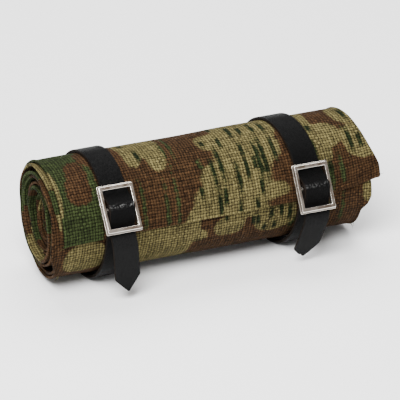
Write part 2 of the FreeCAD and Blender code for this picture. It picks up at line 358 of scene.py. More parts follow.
def rounded_outline(corners, radii, count):
    """Closed outline with each corner replaced by an arc of count + 1 points.

    The arc's ends lie radius / tan(half the corner) along the sides, and its points are the
    quadratic curve (1-t)^2 A + 2t(1-t) B + t^2 C through them with the corner B.
    """
    corners = np.asarray(corners, dtype=float)
    before = np.roll(corners, 1, axis=0) - corners
    after = np.roll(corners, -1, axis=0) - corners
    radii = np.broadcast_to(np.asarray(radii, dtype=float), (len(corners),))[:, None]
    start = corners + before / np.linalg.norm(before, axis=1, keepdims=True) * radii
    end = corners + after / np.linalg.norm(after, axis=1, keepdims=True) * radii
    t = np.linspace(0.0, 1.0, count + 1)[None, :, None]
    curve = (1 - t) ** 2 * start[:, None] + 2 * t * (1 - t) * corners[:, None] + t ** 2 * end[:, None]
    return curve.reshape(-1, 2)


# Paths across the roll


def unit(heading):
    """Direction of a heading: its cosine towards the back and its sine upwards."""
    return np.cos(np.radians(heading)), np.sin(np.radians(heading))


def round_roll(angle, radius):
    """Point (y, z) at an angle round the roll: -r sin a, axis height + r cos a."""
    return -radius * np.sin(np.radians(angle)), AXIS_Z + radius * np.cos(np.radians(angle))


def at_heading(turn, heading):
    """Point of a turn where the path has this heading: the centre plus r (sin h, -cos h)."""
    along_y, along_z = unit(heading)
    return turn[0] + turn[2] * along_z, turn[1] - turn[2] * along_y


def belt(pulleys):
    """Turns of a belt led round pulleys (y, z, signed radius) by their common tangents."""
    headings = []
    for (y1, z1, r1), (y2, z2, r2) in zip(pulleys, pulleys[1:]):
        bearing = math.degrees(math.atan2(z2 - z1, y2 - y1))
        span = math.hypot(y2 - y1, z2 - z1)
        headings.append(bearing - math.degrees(math.asin((r2 - r1) / span)))
    turns = []
    heading = headings[0]
    for pulley, leaving in zip(pulleys[1:], headings[1:]):
        swing = (leaving - heading) % 360.0
        if pulley[2] < 0:
            swing -= 360.0
        turns.append((*pulley, heading, heading + swing))
        heading += swing
    return headings[0], turns, heading


def walk(start, heading, bends, last_run):
    """Turns of a path from a point: straight runs with a bend to a new heading after each."""
    y, z = start
    turns = [(y, z, 0.0, heading, heading)]
    for run, radius, new_heading in bends:
        along_y, along_z = unit(heading)
        centre_y = y + run * along_y - radius * along_z
        centre_z = z + run * along_z + radius * along_y
        turns.append((centre_y, centre_z, radius, heading, new_heading))
        y, z = at_heading(turns[-1], new_heading)
        heading = new_heading
    along_y, along_z = unit(heading)
    turns.append((y + last_run * along_y, z + last_run * along_z, 0.0, heading, heading))
    return turns


def strap_middle(strap, y, z):
    """Where the middle of a leaning strap is along the roll: x + tan(lean) times the reach."""
    out_y, out_z = round_roll(strap["lean_towards"], 1.0)
    reach = y * out_y + (z - AXIS_Z) * (out_z - AXIS_Z)
    return strap["x"] + math.tan(math.radians(strap["lean"])) * reach


def layout(strap):
    """Places that a strap, its buckle and its tail share."""
    frame_angle = strap["buckle_angle"] - strap["buckle_tilt"]
    bar = round_roll(strap["buckle_angle"], ROLL_RADIUS + strap["buckle_height"])
    up_y, up_z = unit(frame_angle)
    arm = (WINDOW[1] + BARS[1]) / 2
    top = (bar[0] + arm * up_y, bar[1] + arm * up_z)
    bottom = (bar[0] - arm * up_y, bar[1] - arm * up_z)
    roll = (0.0, AXIS_Z, ROLL_RADIUS + STRAP_CLEARANCE + HALF_LEATHER)
    loop = (*bar, BAR_RADIUS + BAR_CLEARANCE + HALF_LEATHER)
    over_loop = (*bar, loop[2] + STRAP_THICKNESS + PLY_GAP)
    under_bar = FRAME_DEPTH / 2 + ROCKING_GAP + HALF_LEATHER
    heading, turns, leaving = belt([loop, roll, (*top, -under_bar), over_loop, (*bottom, -under_bar)])
    closing = math.degrees(math.asin((2 * loop[2] - STRAP_THICKNESS - PLY_GAP) / TURNED_END))
    arriving = heading - 180.0 - closing
    wrap = (*loop, arriving, heading)
    start_y, start_z = at_heading(wrap, arriving)
    back_y, back_z = unit(arriving)
    tail_heading = strap["tail_heading"]
    middle_heading = (leaving + tail_heading) / 2
    under_y, under_z = at_heading((*bottom, -under_bar), tail_heading)
    along_y, along_z = unit(tail_heading)
    clear = BARS[1] / 2 + RIM_STEP
    hinge_run = clear + TAIL_GAP + HALF_LEATHER
    hinge = (under_y + hinge_run * along_y, under_z + hinge_run * along_z)
    return {
        "bar": bar,
        "frame_angle": frame_angle,
        "seam": (*at_heading(wrap, heading), heading),
        "hinge": hinge,
        "band": [
            (start_y - TURNED_END * back_y, start_z - TURNED_END * back_z, 0.0, arriving, arriving),
            wrap, *turns, (*bottom, -under_bar, leaving, middle_heading),
        ],
        "tail": [
            (*bottom, -under_bar, middle_heading, tail_heading),
            *walk(hinge, tail_heading, strap["tail_bends"], strap["tail_end"])[1:],
        ],
    }


def stations(turns, step):
    """Points along a path about a step apart: (y, z, heading, run from the start)."""
    ys, zs, headings = [], [], []
    for turn in turns:
        heading_in, heading_out = turn[3:]
        first_y, first_z = at_heading(turn, heading_in)
        if ys:
            run = math.hypot(first_y - ys[-1][-1], first_z - zs[-1][-1])
            between = int(run / step)
            if between:
                share = np.arange(1, between + 1) / (between + 1)
                ys.append(ys[-1][-1] + share * (first_y - ys[-1][-1]))
                zs.append(zs[-1][-1] + share * (first_z - zs[-1][-1]))
                headings.append(np.full(share.shape, heading_in))
        swing = abs(heading_out - heading_in)
        count = max(math.ceil(math.radians(swing) * abs(turn[2]) / step), math.ceil(swing / 9.0))
        heading = np.linspace(heading_in, heading_out, count + 1)
        y, z = at_heading(turn, heading)
        ys.append(np.atleast_1d(y))
        zs.append(np.atleast_1d(z))
        headings.append(heading)
    y, z, heading = (np.concatenate(part) for part in (ys, zs, headings))
    gap = np.hypot(np.diff(y), np.diff(z))
    keep = np.concatenate([[True], gap > 0.02])
    y, z, heading = y[keep], z[keep], heading[keep]
    run = np.concatenate([[0.0], np.cumsum(np.hypot(np.diff(y), np.diff(z)))])
    return y, z, heading, run


# Shader helpers


def join(tree, source, socket):
    """Link a socket to an input, or set the input's own value."""
    if isinstance(source, bpy.types.NodeSocket):
        tree.links.new(source, socket)
    elif socket.type == "RGBA" and hasattr(source, "__len__"):
        socket.default_value = (*tuple(source)[:3], 1.0)
    else:
        socket.default_value = source


def node(tree, kind, settings=None, **sources):
    """New node with its settings, its inputs named with underscores for spaces."""
    new = tree.nodes.new("ShaderNode" + kind)
    for key, value in (settings or {}).items():
        setattr(new, key, value)
    for name, source in sources.items():
        join(tree, source, new.inputs[name.replace("_", " ")])
    return new


def calc(tree, operation, *values, clamp=False):
    """Result of a maths node."""
    new = node(tree, "Math", {"operation": operation, "use_clamp": clamp})
    for value, socket in zip(values, new.inputs):
        join(tree, value, socket)
    return new.outputs[0]


def vector_calc(tree, operation, first, second):
    """Result of a vector maths node."""
    new = node(tree, "VectorMath", {"operation": operation})
    join(tree, first, new.inputs[0])
    join(tree, second, new.inputs[1])
    return new.outputs[0]


def shaded(colour, share):
    """A colour made lighter or darker by a share."""
    return tuple(min(share * part, 1.0) for part in colour)


def blend_colours(tree, share, first, second, how="MIX"):
    """Colour between two, by a share."""
    new = node(tree, "Mix", {"data_type": "RGBA", "blend_type": how})
    join(tree, share, new.inputs[0])
    join(tree, first, new.inputs[6])
    join(tree, second, new.inputs[7])
    return new.outputs[2]


def step_between(tree, value, low, high, first=0.0, last=1.0):
    """Smooth step from first to last as a value goes from low to high."""
    new = node(tree, "MapRange", {"interpolation_type": "SMOOTHSTEP"}, Value=value)
    for name, part in (("From Min", low), ("From Max", high), ("To Min", first), ("To Max", last)):
        join(tree, part, new.inputs[name])
    return new.outputs[0]


def noise(tree, place, scale, detail=2.0, roughness=0.5):
    """Even noise from 0 to 1, about 0.5."""
    new = node(tree, "TexNoise", Vector=place, Scale=scale, Detail=detail, Roughness=roughness)
    return new.outputs[0]


def ripple(tree, place, scale, detail, roughness):
    """Even noise about 0, from -0.5 to 0.5."""
    return calc(tree, "SUBTRACT", noise(tree, place, scale, detail, roughness), 0.5)


def attribute(tree, name):
    """A field of the mesh: its vector and its value."""
    new = node(tree, "Attribute", {"attribute_name": name})
    return new.outputs["Vector"], new.outputs["Fac"]


def group(name, inputs, outputs):
    """Empty node group with named inputs (name, default) and outputs, and its two end nodes."""
    tree = bpy.data.node_groups.new(name, "ShaderNodeTree")
    for label, default in inputs:
        kind = "NodeSocketVector" if default is None else "NodeSocketFloat"
        socket = tree.interface.new_socket(label, in_out="INPUT", socket_type=kind)
        if default is not None:
            socket.default_value = default
    for label in outputs:
        tree.interface.new_socket(label, in_out="OUTPUT", socket_type="NodeSocketFloat")
    return tree, tree.nodes.new("NodeGroupInput").outputs, tree.nodes.new("NodeGroupOutput").inputs


def use_group(tree, name, **sources):
    """A node group placed in a material."""
    new = tree.nodes.new("ShaderNodeGroup")
    new.node_tree = bpy.data.node_groups[name]
    for label, source in sources.items():
        join(tree, source, new.inputs[label.replace("_", " ")])
    return new.outputs


def make_weave_group():
    """Plain weave of round yarns, in lengths across and along the cloth.

    With a = sin(pi x / pitch) and b = sin(pi y / pitch), a warp yarn stands |a|^0.6 (0.72 + 0.46 a b)
    high and a weft yarn |b|^0.6 (0.72 - 0.46 a b), and the cloth is the higher of the two. Where
    both are low there is a hole.
    """
    tree, source, result = group(
        "plain_weave", [("Place", None), ("Pitch", 0.002), ("Wander", 0.0004)],
        ["Height", "Hole", "Yarn"],
    )
    place, pitch, wander = source["Place"], source["Pitch"], source["Wander"]
    moved = node(tree, "TexNoise", Vector=place, Scale=95.0, Detail=2.0).outputs["Color"]
    drift = vector_calc(tree, "MULTIPLY", vector_calc(tree, "SUBTRACT", moved, (0.5, 0.5, 0.5)), wander)
    parts = node(tree, "SeparateXYZ", Vector=vector_calc(tree, "ADD", place, drift)).outputs
    across = calc(tree, "DIVIDE", parts[0], pitch)
    along = calc(tree, "DIVIDE", parts[1], pitch)
    a = calc(tree, "SINE", calc(tree, "MULTIPLY", across, math.pi))
    b = calc(tree, "SINE", calc(tree, "MULTIPLY", along, math.pi))
    both = calc(tree, "MULTIPLY", a, b)
    heights, streaks = [], []
    for wave, lift, long_axis in ((a, 0.46, 1), (b, -0.46, 0)):
        profile = calc(tree, "POWER", calc(tree, "ABSOLUTE", wave), 0.6)
        heights.append(calc(tree, "MULTIPLY", profile, calc(tree, "MULTIPLY_ADD", both, lift, 0.72)))
        stretched = node(tree, "CombineXYZ")
        for axis, part in enumerate((across, along)):
            join(tree, calc(tree, "MULTIPLY", part, 0.09 if axis == long_axis else 0.8),
                 stretched.inputs[axis])
        stretched.inputs[2].default_value = 3.7 * long_axis
        streaks.append(noise(tree, stretched.outputs[0], 1.0, 3.0, 0.6))
    height = calc(tree, "MAXIMUM", *heights)
    uneven = ripple(tree, place, calc(tree, "DIVIDE", 0.62, pitch), 3.0, 0.65)
    height = calc(tree, "MULTIPLY_ADD", uneven, 0.95, height)
    warp_on_top = step_between(tree, both, -0.15, 0.15)
    yarn = node(tree, "Mix", {"data_type": "FLOAT"})
    for index, value in ((0, warp_on_top), (2, streaks[1]), (3, streaks[0])):
        join(tree, value, yarn.inputs[index])
    join(tree, height, result["Height"])
    join(tree, step_between(tree, height, 0.26, 0.8, 1.0, 0.0), result["Hole"])
    join(tree, yarn.outputs[0], result["Yarn"])


def make_grain_group():
    """Leather grain: rounded cells from the distance to their borders, with fine pores."""
    tree, source, result = group("leather_grain", [("Place", None), ("Cell", 0.001)], ["Height", "Crackle"])
    scale = calc(tree, "DIVIDE", 1.0, source["Cell"])
    cells = node(tree, "TexVoronoi", {"feature": "DISTANCE_TO_EDGE"}, Vector=source["Place"], Scale=scale)
    bowl = step_between(tree, cells.outputs["Distance"], 0.0, 0.28)
    fine = noise(tree, source["Place"], calc(tree, "MULTIPLY", scale, 2.6), 3.0, 0.6)
    join(tree, calc(tree, "MULTIPLY_ADD", fine, 0.5, bowl), result["Height"])
    broken = noise(tree, source["Place"], calc(tree, "MULTIPLY", scale, 0.9), 3.0, 0.7)
    join(tree, step_between(tree, broken, 0.52, 0.62), result["Crackle"])


def make_wear_group():
    """Mask along an edge: the edge field, broken up by noise, over a threshold; worn raw edges on the
    leather, and on the nickel bright edges that are wear and painted highlight.
    """
    tree, source, result = group(
        "edge_wear_and_highlight", [("Place", None), ("Edge", 0.0), ("Grain", 300.0), ("Ragged", 0.6)], ["Mask"])
    broken = ripple(tree, source["Place"], source["Grain"], 3.0, 0.6)
    total = calc(tree, "MULTIPLY_ADD", broken, source["Ragged"], source["Edge"])
    join(tree, step_between(tree, total, 0.3, 0.75), result["Mask"])


def material(name):
    """New material, its node tree and its Principled shader."""
    new = bpy.data.materials.new(name)
    new.use_nodes = True
    return new, new.node_tree, new.node_tree.nodes["Principled BSDF"]


def bump(tree, height, depth, strength=1.0):
    """Normal of a height field whose full height is depth, in metres."""
    return node(tree, "Bump", Height=height, Distance=depth, Strength=strength).outputs[0]


def make_canvas_material(settings):
    """Printed canvas: khaki, green and dark green over brown, on an open plain weave, with painted
    highlights on the yarn crests and painted shade in the weave's holes.
    """
    cloth, tree, shader = material("printed_canvas")
    place, _ = attribute(tree, "cloth")
    weave = use_group(tree, "plain_weave", Place=place, Pitch=settings.yarn, Wander=0.0019)
    rough = ripple(tree, place, 150.0, 3.0, 0.6)
    rough_fine = ripple(tree, place, 480.0, 2.0, 0.6)
    brown = settings.brown
    base = blend_colours(tree, noise(tree, place, 26.0, 2.0), shaded(brown, 0.86), shaded(brown, 1.14))
    prints = (("green", settings.green, 4.4, 4.0), ("khaki", settings.khaki, 2.8, 2.6),
              ("stroke", settings.stroke, 1.8, 2.6))
    for name, shade, ragged, fine in prints:
        _, distance = attribute(tree, name)
        edge = calc(tree, "MULTIPLY_ADD", rough, ragged, distance)
        edge = calc(tree, "MULTIPLY_ADD", rough_fine, fine, edge)
        base = blend_colours(tree, step_between(tree, edge, -0.75, 0.75), base, shade)
    yarn = step_between(tree, weave["Yarn"], 0.32, 0.68, 0.55, 1.55)
    # Painted highlight: the yarn crests are painted lighter than the rest of the yarn.
    crest = step_between(tree, weave["Height"], 0.6, 1.25, 0.78, 1.45)
    lit = blend_colours(tree, 1.0, base, calc(tree, "MULTIPLY", yarn, crest), "MULTIPLY")
    # Painted shade: the weave's holes are painted nearly black.
    hole_shade = blend_colours(tree, 1.0, base, (0.03, 0.027, 0.025), "MULTIPLY")
    hole = calc(tree, "MULTIPLY", weave["Hole"], 0.9)
    join(tree, blend_colours(tree, hole, lit, hole_shade), shader.inputs["Base Color"])
    fuzz = noise(tree, place, 1500.0, 2.0, 0.7)
    height = calc(tree, "MULTIPLY_ADD", fuzz, 0.25, weave["Height"])
    join(tree, bump(tree, height, 0.0007, 0.9), shader.inputs["Normal"])
    shader.inputs["Roughness"].default_value = settings.roughness
    shader.inputs["Specular IOR Level"].default_value = 0.06
    return cloth


def make_leather_material(settings):
    """Black grained leather, with brown raw edges and a crackled finish on its crease, painted light grey
    both for its cracks and as painted highlight glints on the ridge.
    """
    leather, tree, shader = material("black_leather")
    place, _ = attribute(tree, "leather")
    _, cut = attribute(tree, "cut_edge")
    _, crease = attribute(tree, "crease")
    _, scuff_and_painted_light = attribute(tree, "scuff_and_painted_light")
    grain = use_group(tree, "leather_grain", Place=place, Cell=settings.grain)
    cracks = use_group(tree, "leather_grain", Place=place, Cell=settings.grain * 1.5)
    raw = use_group(tree, "edge_wear_and_highlight", Place=place, Edge=cut, Grain=420.0, Ragged=0.5)
    cloudy = noise(tree, place, 55.0, 3.0)
    face = blend_colours(tree, cloudy, shaded(settings.black, 0.7), shaded(settings.black, 1.35))
    # Painted light: the hanging tail is painted up to 3.6 times lighter, partly also standing for scuffing.
    face = blend_colours(tree, scuff_and_painted_light, face, shaded(settings.black, 3.6))
    colour = blend_colours(tree, raw["Mask"], face, settings.raw)
    # Crease colour: the cracked finish painted light grey, which also serves as painted highlight glints on
    # the ridge.
    crackle_glint = calc(tree, "MULTIPLY", crease, cracks["Crackle"], clamp=True)
    colour = blend_colours(tree, crackle_glint, colour, (0.16, 0.16, 0.155))
    # Painted highlight: the raised grain cells are painted lighter, standing in for glints on the pebbles.
    pebble_highlight = step_between(tree, grain["Height"], 0.1, 1.3, 0.62, 1.4)
    join(tree, blend_colours(tree, 1.0, colour, pebble_highlight, "MULTIPLY"), shader.inputs["Base Color"])
    rough = calc(tree, "MULTIPLY_ADD", cloudy, 0.22, settings.roughness - 0.11)
    rough = calc(tree, "MULTIPLY_ADD", raw["Mask"], 0.3, rough, clamp=True)
    join(tree, rough, shader.inputs["Roughness"])
    height = calc(tree, "MULTIPLY_ADD", crackle_glint, 1.2, grain["Height"])
    join(tree, bump(tree, height, 0.0003, 0.95), shader.inputs["Normal"])
    shader.inputs["Specular IOR Level"].default_value = 0.042
    return leather


def make_nickel_material(settings):
    """Worn nickel: bright rounded edges, partly painted highlight, duller tarnished faces, painted shade in
    the frame's recessed corners, and fine pits.
    """
    nickel, tree, shader = material("worn_nickel")
    place, _ = attribute(tree, "metal")
    _, edge = attribute(tree, "wear_and_light_edge")
    # The nickel's bright edges are worn metal and also painted highlight lines; tarnish covers the rest.
    wear_and_light = use_group(tree, "edge_wear_and_highlight", Place=place, Edge=edge, Grain=500.0, Ragged=0.55)
    patchy = step_between(tree, noise(tree, place, 150.0, 3.0, 0.6), 0.34, 0.66, 0.8, 1.0)
    dull = calc(tree, "MULTIPLY", patchy, calc(tree, "SUBTRACT", 1.0, wear_and_light["Mask"]))
    # Painted shade: where the edge field is negative, in the step's inner corner and along the window's
    # back edge, the metal is painted nearly black.
    recess_shade = step_between(tree, edge, -0.2, -0.8)
    colour = blend_colours(tree, dull, settings.nickel, settings.tarnish)
    colour = blend_colours(tree, recess_shade, colour, (0.02, 0.016, 0.012))
    join(tree, colour, shader.inputs["Base Color"])
    join(tree, calc(tree, "MULTIPLY_ADD", dull, 0.3, settings.roughness), shader.inputs["Roughness"])
    pits = noise(tree, place, 900.0, 4.0, 0.7)
    join(tree, bump(tree, pits, 0.00005, 0.4), shader.inputs["Normal"])
    shader.inputs["Metallic"].default_value = 1.0
    return nickel


def make_thread_material(settings):
    """Waxed thread: two plies twisted together, as slanting bands along it, the low bands between the plies
    darker as painted shade.
    """
    thread, tree, shader = material("seam_thread")
    place, _ = attribute(tree, "thread")
    parts = node(tree, "SeparateXYZ", Vector=place).outputs
    along, around = (calc(tree, "MULTIPLY", part, rate) for part, rate in zip(parts, (5200.0, 2.0)))
    slant = calc(tree, "ADD", along, around)
    bands = step_between(tree, calc(tree, "SINE", slant), -1.0, 1.0)
    # Painted shade: the grooves of the twist are painted darker.
    shade = blend_colours(tree, bands, shaded(settings.thread, 0.6), settings.thread)
    join(tree, shade, shader.inputs["Base Color"])
    join(tree, bump(tree, bands, 0.0001), shader.inputs["Normal"])
    shader.inputs["Roughness"].default_value = 0.55
    return thread


# Canvas


def random_patches():
    """Patches and strokes for the cloth that the listed patches don't lay out, the same on every run."""
    draw = np.random.default_rng(11)
    khaki, green, strokes = [], [], []
    for _ in range(24):
        x, angle = draw.uniform(10, 245), draw.uniform(-205, -45)
        half_x, half_angle = draw.uniform(9, 24), draw.uniform(11, 26)
        khaki.append((x - half_x, x + half_x, angle - half_angle, angle + half_angle))
        for _ in range(4):
            stroke_x = x + draw.uniform(-0.8, 0.8) * half_x
            middle, half = angle + draw.uniform(-0.5, 0.5) * half_angle, draw.uniform(5, 14)
            strokes.append((stroke_x, middle - half, middle + half))
    for _ in range(13):
        x, angle = draw.uniform(0, 250), draw.uniform(-205, -60)
        half_x, half_angle = draw.uniform(5, 16), draw.uniform(12, 34)
        green.append((x - half_x, x + half_x, angle - half_angle, angle + half_angle))
    for start in (0.0, INNER_PLY):
        angle = -285.0 if start == 0.0 else -110.0
        while angle > -360.0 * TURNS + 60.0:
            for edge in (0.0, 250.0):
                half = draw.uniform(24, 58)
                chosen = draw.choice([0, 1, 1, 1, 2, 2, 2, 2])
                patch = (edge - 24, edge + 24, start + angle - 2 * half, start + angle)
                if chosen == 0:
                    khaki.append(patch)
                elif chosen == 1:
                    green.append(patch)
            angle -= draw.uniform(50, 105)
    return khaki, green, strokes


def patch_field(x, angle, patches, power=3.0, merge=0.3):
    """How far inside the patches a point is, in millimetres.

    A patch is the rounded box (|u|^p + |v|^p)^(1/p) = 1, where u and v are the distances from its
    middle over its half sizes, and its field f is one less that, times the smaller half size. All
    the patches together are m log(sum(exp(f / m))), where m is how softly they merge.
    """
    field = np.full(np.shape(x), NO_PRINT)
    for x0, x1, angle0, angle1 in patches:
        half_x, half_y = (x1 - x0) / 2, (angle1 - angle0) / 2 * DEGREE
        u = np.abs(x - (x0 + x1) / 2) / half_x
        v = np.abs(angle - (angle0 + angle1) / 2) * DEGREE / half_y
        reach = (u ** power + v ** power) ** (1.0 / power)
        field = merge * np.logaddexp(field / merge, (1.0 - reach) * min(half_x, half_y) / merge)
    return field


def on_inner_ply(patches):
    """The same patches where the print on the inner ply is looked up."""
    return [(x0, x1, angle0 + INNER_PLY, angle1 + INNER_PLY) for x0, x1, angle0, angle1 in patches]


def print_fields(x, angle, inner):
    """Fields of the three printed colours over brown, at points of the cloth."""
    khaki, green, strokes = random_patches()
    back = smooth_step((-45.0 - angle) / 25.0) * smooth_step((angle + 205.0) / 30.0)
    warped = angle + back * (8.0 * np.sin(x / 8.5) + 5.0 * np.sin(x / 3.9 + angle / 13.0))
    x = x + back * (5.0 * np.sin(angle / 11.0 + x / 23.0) + 2.5 * np.sin(angle / 4.7 - x / 9.0))
    look_up = np.where(inner, warped + INNER_PLY, warped)
    green = GREEN_PATCHES + green + on_inner_ply(LIP_GREEN)
    khaki = KHAKI_PATCHES + khaki + on_inner_ply(LIP_KHAKI)
    brown = patch_field(x, look_up, BROWN_PATCHES, 2.4, 1.0)
    stroke_boxes = [(middle - STROKE_HALF_WIDTH, middle + STROKE_HALF_WIDTH, angle0, angle1)
                    for middle, angle0, angle1 in STROKES + strokes]
    steep = np.where((x < 5.0) & (angle > -100.0), 3.0, 1.0)
    return {
        "green": steep * np.minimum(patch_field(x, look_up, green), -brown),
        "khaki": steep * patch_field(x, look_up, khaki, 2.5, 1.2),
        "stroke": patch_field(x, look_up, stroke_boxes, 6.0),
    }


def outer_radius(turn):
    """Outside of the roll after some turns.

    It is even up to SETTLED_TURN, falls by the first drop and then by the second turn's sag, and from
    the first turn on also by the pitch.
    """
    ramp = smooth_step((turn - SETTLED_TURN) / (1.0 - SETTLED_TURN))
    sag = SECOND_TURN_SAG * smooth_step((turn - 1.04) / 0.22)
    return ROLL_RADIUS - FIRST_DROP * ramp - sag - TURN_PITCH * np.maximum(turn - 1.0, 0.0)


def hem_columns(settings, middle):
    """Points round a ply's section: share of the width, distance from it, lift and bead, top first.

    Towards each edge the half thickness falls to nothing over the last half millimetre, and the
    bead is a bulge over the last three.
    """
    half = settings.ply * MM / 2
    bead = settings.hem * MM
    inset = np.array([0.0, 0.12, 0.45, 1.0, 1.7, 2.4, 3.3, 4.5])
    rise = np.array([0.0, 0.68, 0.95, 1.0, 1.0, 1.0, 1.0, 1.0]) * half
    bulge = np.array([0.0, 0.36, 0.74, 1.0, 0.86, 0.5, 0.12, 0.0]) * bead
    share = np.linspace(0.0, 1.0, middle + 1)[1:-1]
    left = np.stack([0 * inset, inset, rise, bulge], -1)
    right = np.stack([0 * inset + 1.0, -inset, rise, bulge], -1)[::-1]
    centre = np.stack([share, inset[-1] * (1 - 2 * share), half + 0 * share, 0 * share], -1)
    return np.concatenate([left, centre, right])


def ply_section(settings, top_middle, bottom_middle):
    """Closed section of a ply: (share, offset, side, lift, bead), its top from left to right first."""
    top = hem_columns(settings, top_middle)
    bottom = hem_columns(settings, bottom_middle)[::-1][1:-1]
    sides = np.concatenate([np.ones(len(top)), -np.ones(len(bottom))])
    points = np.concatenate([top, bottom])
    return np.column_stack([points[:, :2], sides, points[:, 2:]])


def canvas_rows():
    """Rows along the folded sheet, from the core out along the outer ply and back along the inner.

    Each row is (turn from the loose end, angle round the fold, which is 0 on the outer ply and 180
    on the inner). Rows are a fixed length apart, or an angle near the core.
    """
    turns = [FINE_TURNS]
    while turns[-1] < TURNS:
        radius = max(float(outer_radius(turns[-1])) - 1.6, 3.0)
        turns.append(turns[-1] + min(ROW_LENGTH / (2 * math.pi * radius), CORE_ROW_ANGLE / 360.0))
    turns[-1] = TURNS
    outer_coarse = np.array(turns[1:])[::-1]
    outer_fine = np.linspace(FINE_TURNS, 0.0, FINE_ROWS)
    inner = np.concatenate([np.linspace(0.0, FINE_TURNS, INNER_ROWS)[1:-1], np.array(turns)])
    fold = np.linspace(0.0, 180.0, 9)[1:]
    coarse = np.column_stack([outer_coarse, 0 * outer_coarse])
    fine = np.column_stack([outer_fine, 0 * outer_fine])
    back = np.concatenate([np.column_stack([0 * fold, fold]), np.column_stack([inner, 0 * inner + 180.0])])
    return coarse, fine, back


def read_along(table, place, column=1):
    """Value of a table's column at a place, in proportion between its rows."""
    return np.interp(place, table[:, 0], table[:, column])


def settled(x, y, z, settings):
    """Points of the wound sheet, from the roll's axis, once it has hollows and a flattened core.

    The hollows are a slow wave in angle and length, and there are none under the straps.
    """
    radius = np.hypot(y, z)
    around = np.arctan2(-y, z)
    hollow = (0.5 + 0.25 * np.sin(3 * around + x / 31.0) + 0.25 * np.sin(2 * around - x / 19.0 + 1.3)
              + 0.18 * np.sin(7 * around + x / 11.0))
    held = 0.0
    for strap in STRAPS.values():
        away = x + LEFT_END - strap_middle(strap, y, z + AXIS_Z)
        held = np.maximum(held, np.exp(-(away / HELD_WIDTH) ** 4))
    hollow = np.clip(hollow, 0.0, 1.2) * (1.0 - held)
    radius = radius - settings.sag * MM * hollow * (radius / ROLL_RADIUS) ** 2
    pressed = 0.2 * smooth_step((34.0 - radius) / 22.0)
    narrow, tall = 1.0 - 1.3 * pressed, 1.0 + 0.35 * pressed
    return -radius * np.sin(around) * narrow, radius * np.cos(around) * tall


def canvas_points(rows, section, settings):
    """Points of the sheet at rows and columns, with the fields that the print and weave need.

    A point is the roll's radius less half the folded thickness, plus the fold's radius and the
    section's lift, turned by the fold's angle.
    """
    turn, fold = rows[:, :1], np.radians(rows[:, 1:])
    on_inner = rows[:, 1:] / 180.0
    share, offset, side, lift, bead = section.T
    left = read_along(EDGES, turn) + on_inner * read_along(INNER_EDGES, turn)
    right = read_along(EDGES, turn, 2) + on_inner * read_along(INNER_EDGES, turn, 2)
    flutter = 0.5 * np.sin(turn * 31.0 + 4.0 * on_inner) * smooth_step((turn - 0.3) / 0.3)
    x = left + flutter + share * (right - left - 2 * flutter) + offset
    weight = np.where(side > 0, 1.0 - on_inner, on_inner * smooth_step(turn / 0.04))
    rise = side * (lift + bead * weight)
    angle = LOOSE_END - 360.0 * turn + 0 * x
    angle = angle + read_along(LOOSE_LINE, x) * np.clip(1.0 - turn / 0.14, 0.0, 1.0)
    loosened = INNER_PLY_EXTRA * smooth_step((turn - 0.1) / 0.5)
    fold_radius = FOLD_RADIUS + loosened
    rise = rise + side * loosened * 0.5 * np.minimum(lift / 0.6, 1.0)
    centre = outer_radius(turn) - FOLDED_THICKNESS / 2 - loosened * 1.5
    out = centre + (fold_radius + rise) * np.cos(fold)
    forward = (fold_radius + rise) * np.sin(fold)
    sine, cosine = np.sin(np.radians(angle)), np.cos(np.radians(angle))
    y, z = settled(x, -out * sine - forward * cosine, out * cosine - forward * sine, settings)
    centre_y = -centre * np.sin(np.radians(LOOSE_END - 360.0 * turn))
    centre_z = centre * np.cos(np.radians(LOOSE_END - 360.0 * turn))
    return x, y, z, angle, np.broadcast_to(on_inner, x.shape), np.hstack([centre_y, centre_z])


def stitch_faces(coarse, fine, coarse_first):
    """Faces between a coarse row and a fine one: each coarse edge between the hems meets FINER others."""
    count = len(coarse)
    split = np.arange(count + 1)
    at = split + (np.clip(split, HEM_EDGES, HEM_EDGES + MIDDLE_EDGES) - HEM_EDGES) * (FINER - 1)
    if at[-1] != len(fine):
        raise ValueError("The rows of the sheet don't match")
    faces = []
    for column in range(count):
        run = [fine[k % len(fine)] for k in range(at[column], at[column + 1] + 1)]
        edge = [coarse[column], coarse[(column + 1) % count]]
        faces.append(edge + run[::-1] if coarse_first else run + edge[::-1])
    return faces


def make_canvas(settings, cloth):
    """The folded and rolled sheet as one closed mesh, finer over the turn that shows."""
    plain = ply_section(settings, MIDDLE_EDGES, MIDDLE_EDGES)
    dense = ply_section(settings, MIDDLE_EDGES * FINER, MIDDLE_EDGES)
    blocks = list(zip(canvas_rows(), (plain, dense, plain)))
    parts = [canvas_points(rows, section, settings) for rows, section in blocks]
    x, y, z, angle, inner = (np.concatenate([part[k].ravel() for part in parts]) for k in range(5))
    points = placed(x + LEFT_END, y, z + AXIS_Z)
    line = np.concatenate([part[5] for part in parts])
    run = np.concatenate([[0.0], np.cumsum(np.hypot(*np.diff(line, axis=0).T))])
    lengths = np.repeat(run, [len(section) for rows, section in blocks for _ in rows])
    faces, starts, start = [], [], 0
    for rows, section in blocks:
        faces += grid_faces(len(rows), len(section), start)
        starts.append(start)
        start += len(rows) * len(section)
    columns, dense_columns = len(plain), len(dense)
    _, fine_start, back_start = starts
    faces += stitch_faces(range(fine_start - columns, fine_start),
                          range(fine_start, fine_start + dense_columns), True)
    faces += stitch_faces(range(back_start, back_start + columns),
                          range(back_start - dense_columns, back_start), False)
    # Flat faces over the two ends of the sheet, in the core
    half = columns // 2
    for start, turned in ((0, True), (len(points) - columns, False)):
        end = [[start, start + 1, start + columns - 1], [start + half - 1, start + half, start + half + 1]]
        end += [[start + k, start + k + 1, start + columns - k - 1, start + columns - k]
                for k in range(1, half - 1)]
        faces += [face[::-1] for face in end] if turned else end
    fields = print_fields(x, angle, inner > 0.5)
    fields["cloth"] = np.column_stack([x, lengths, 0 * x]) / MM
    sheet = mesh_piece("canvas_sheet", points, faces, fields, cloth, ["canvas_roll"], "canvas")
    return sheet, run[-1] / MM


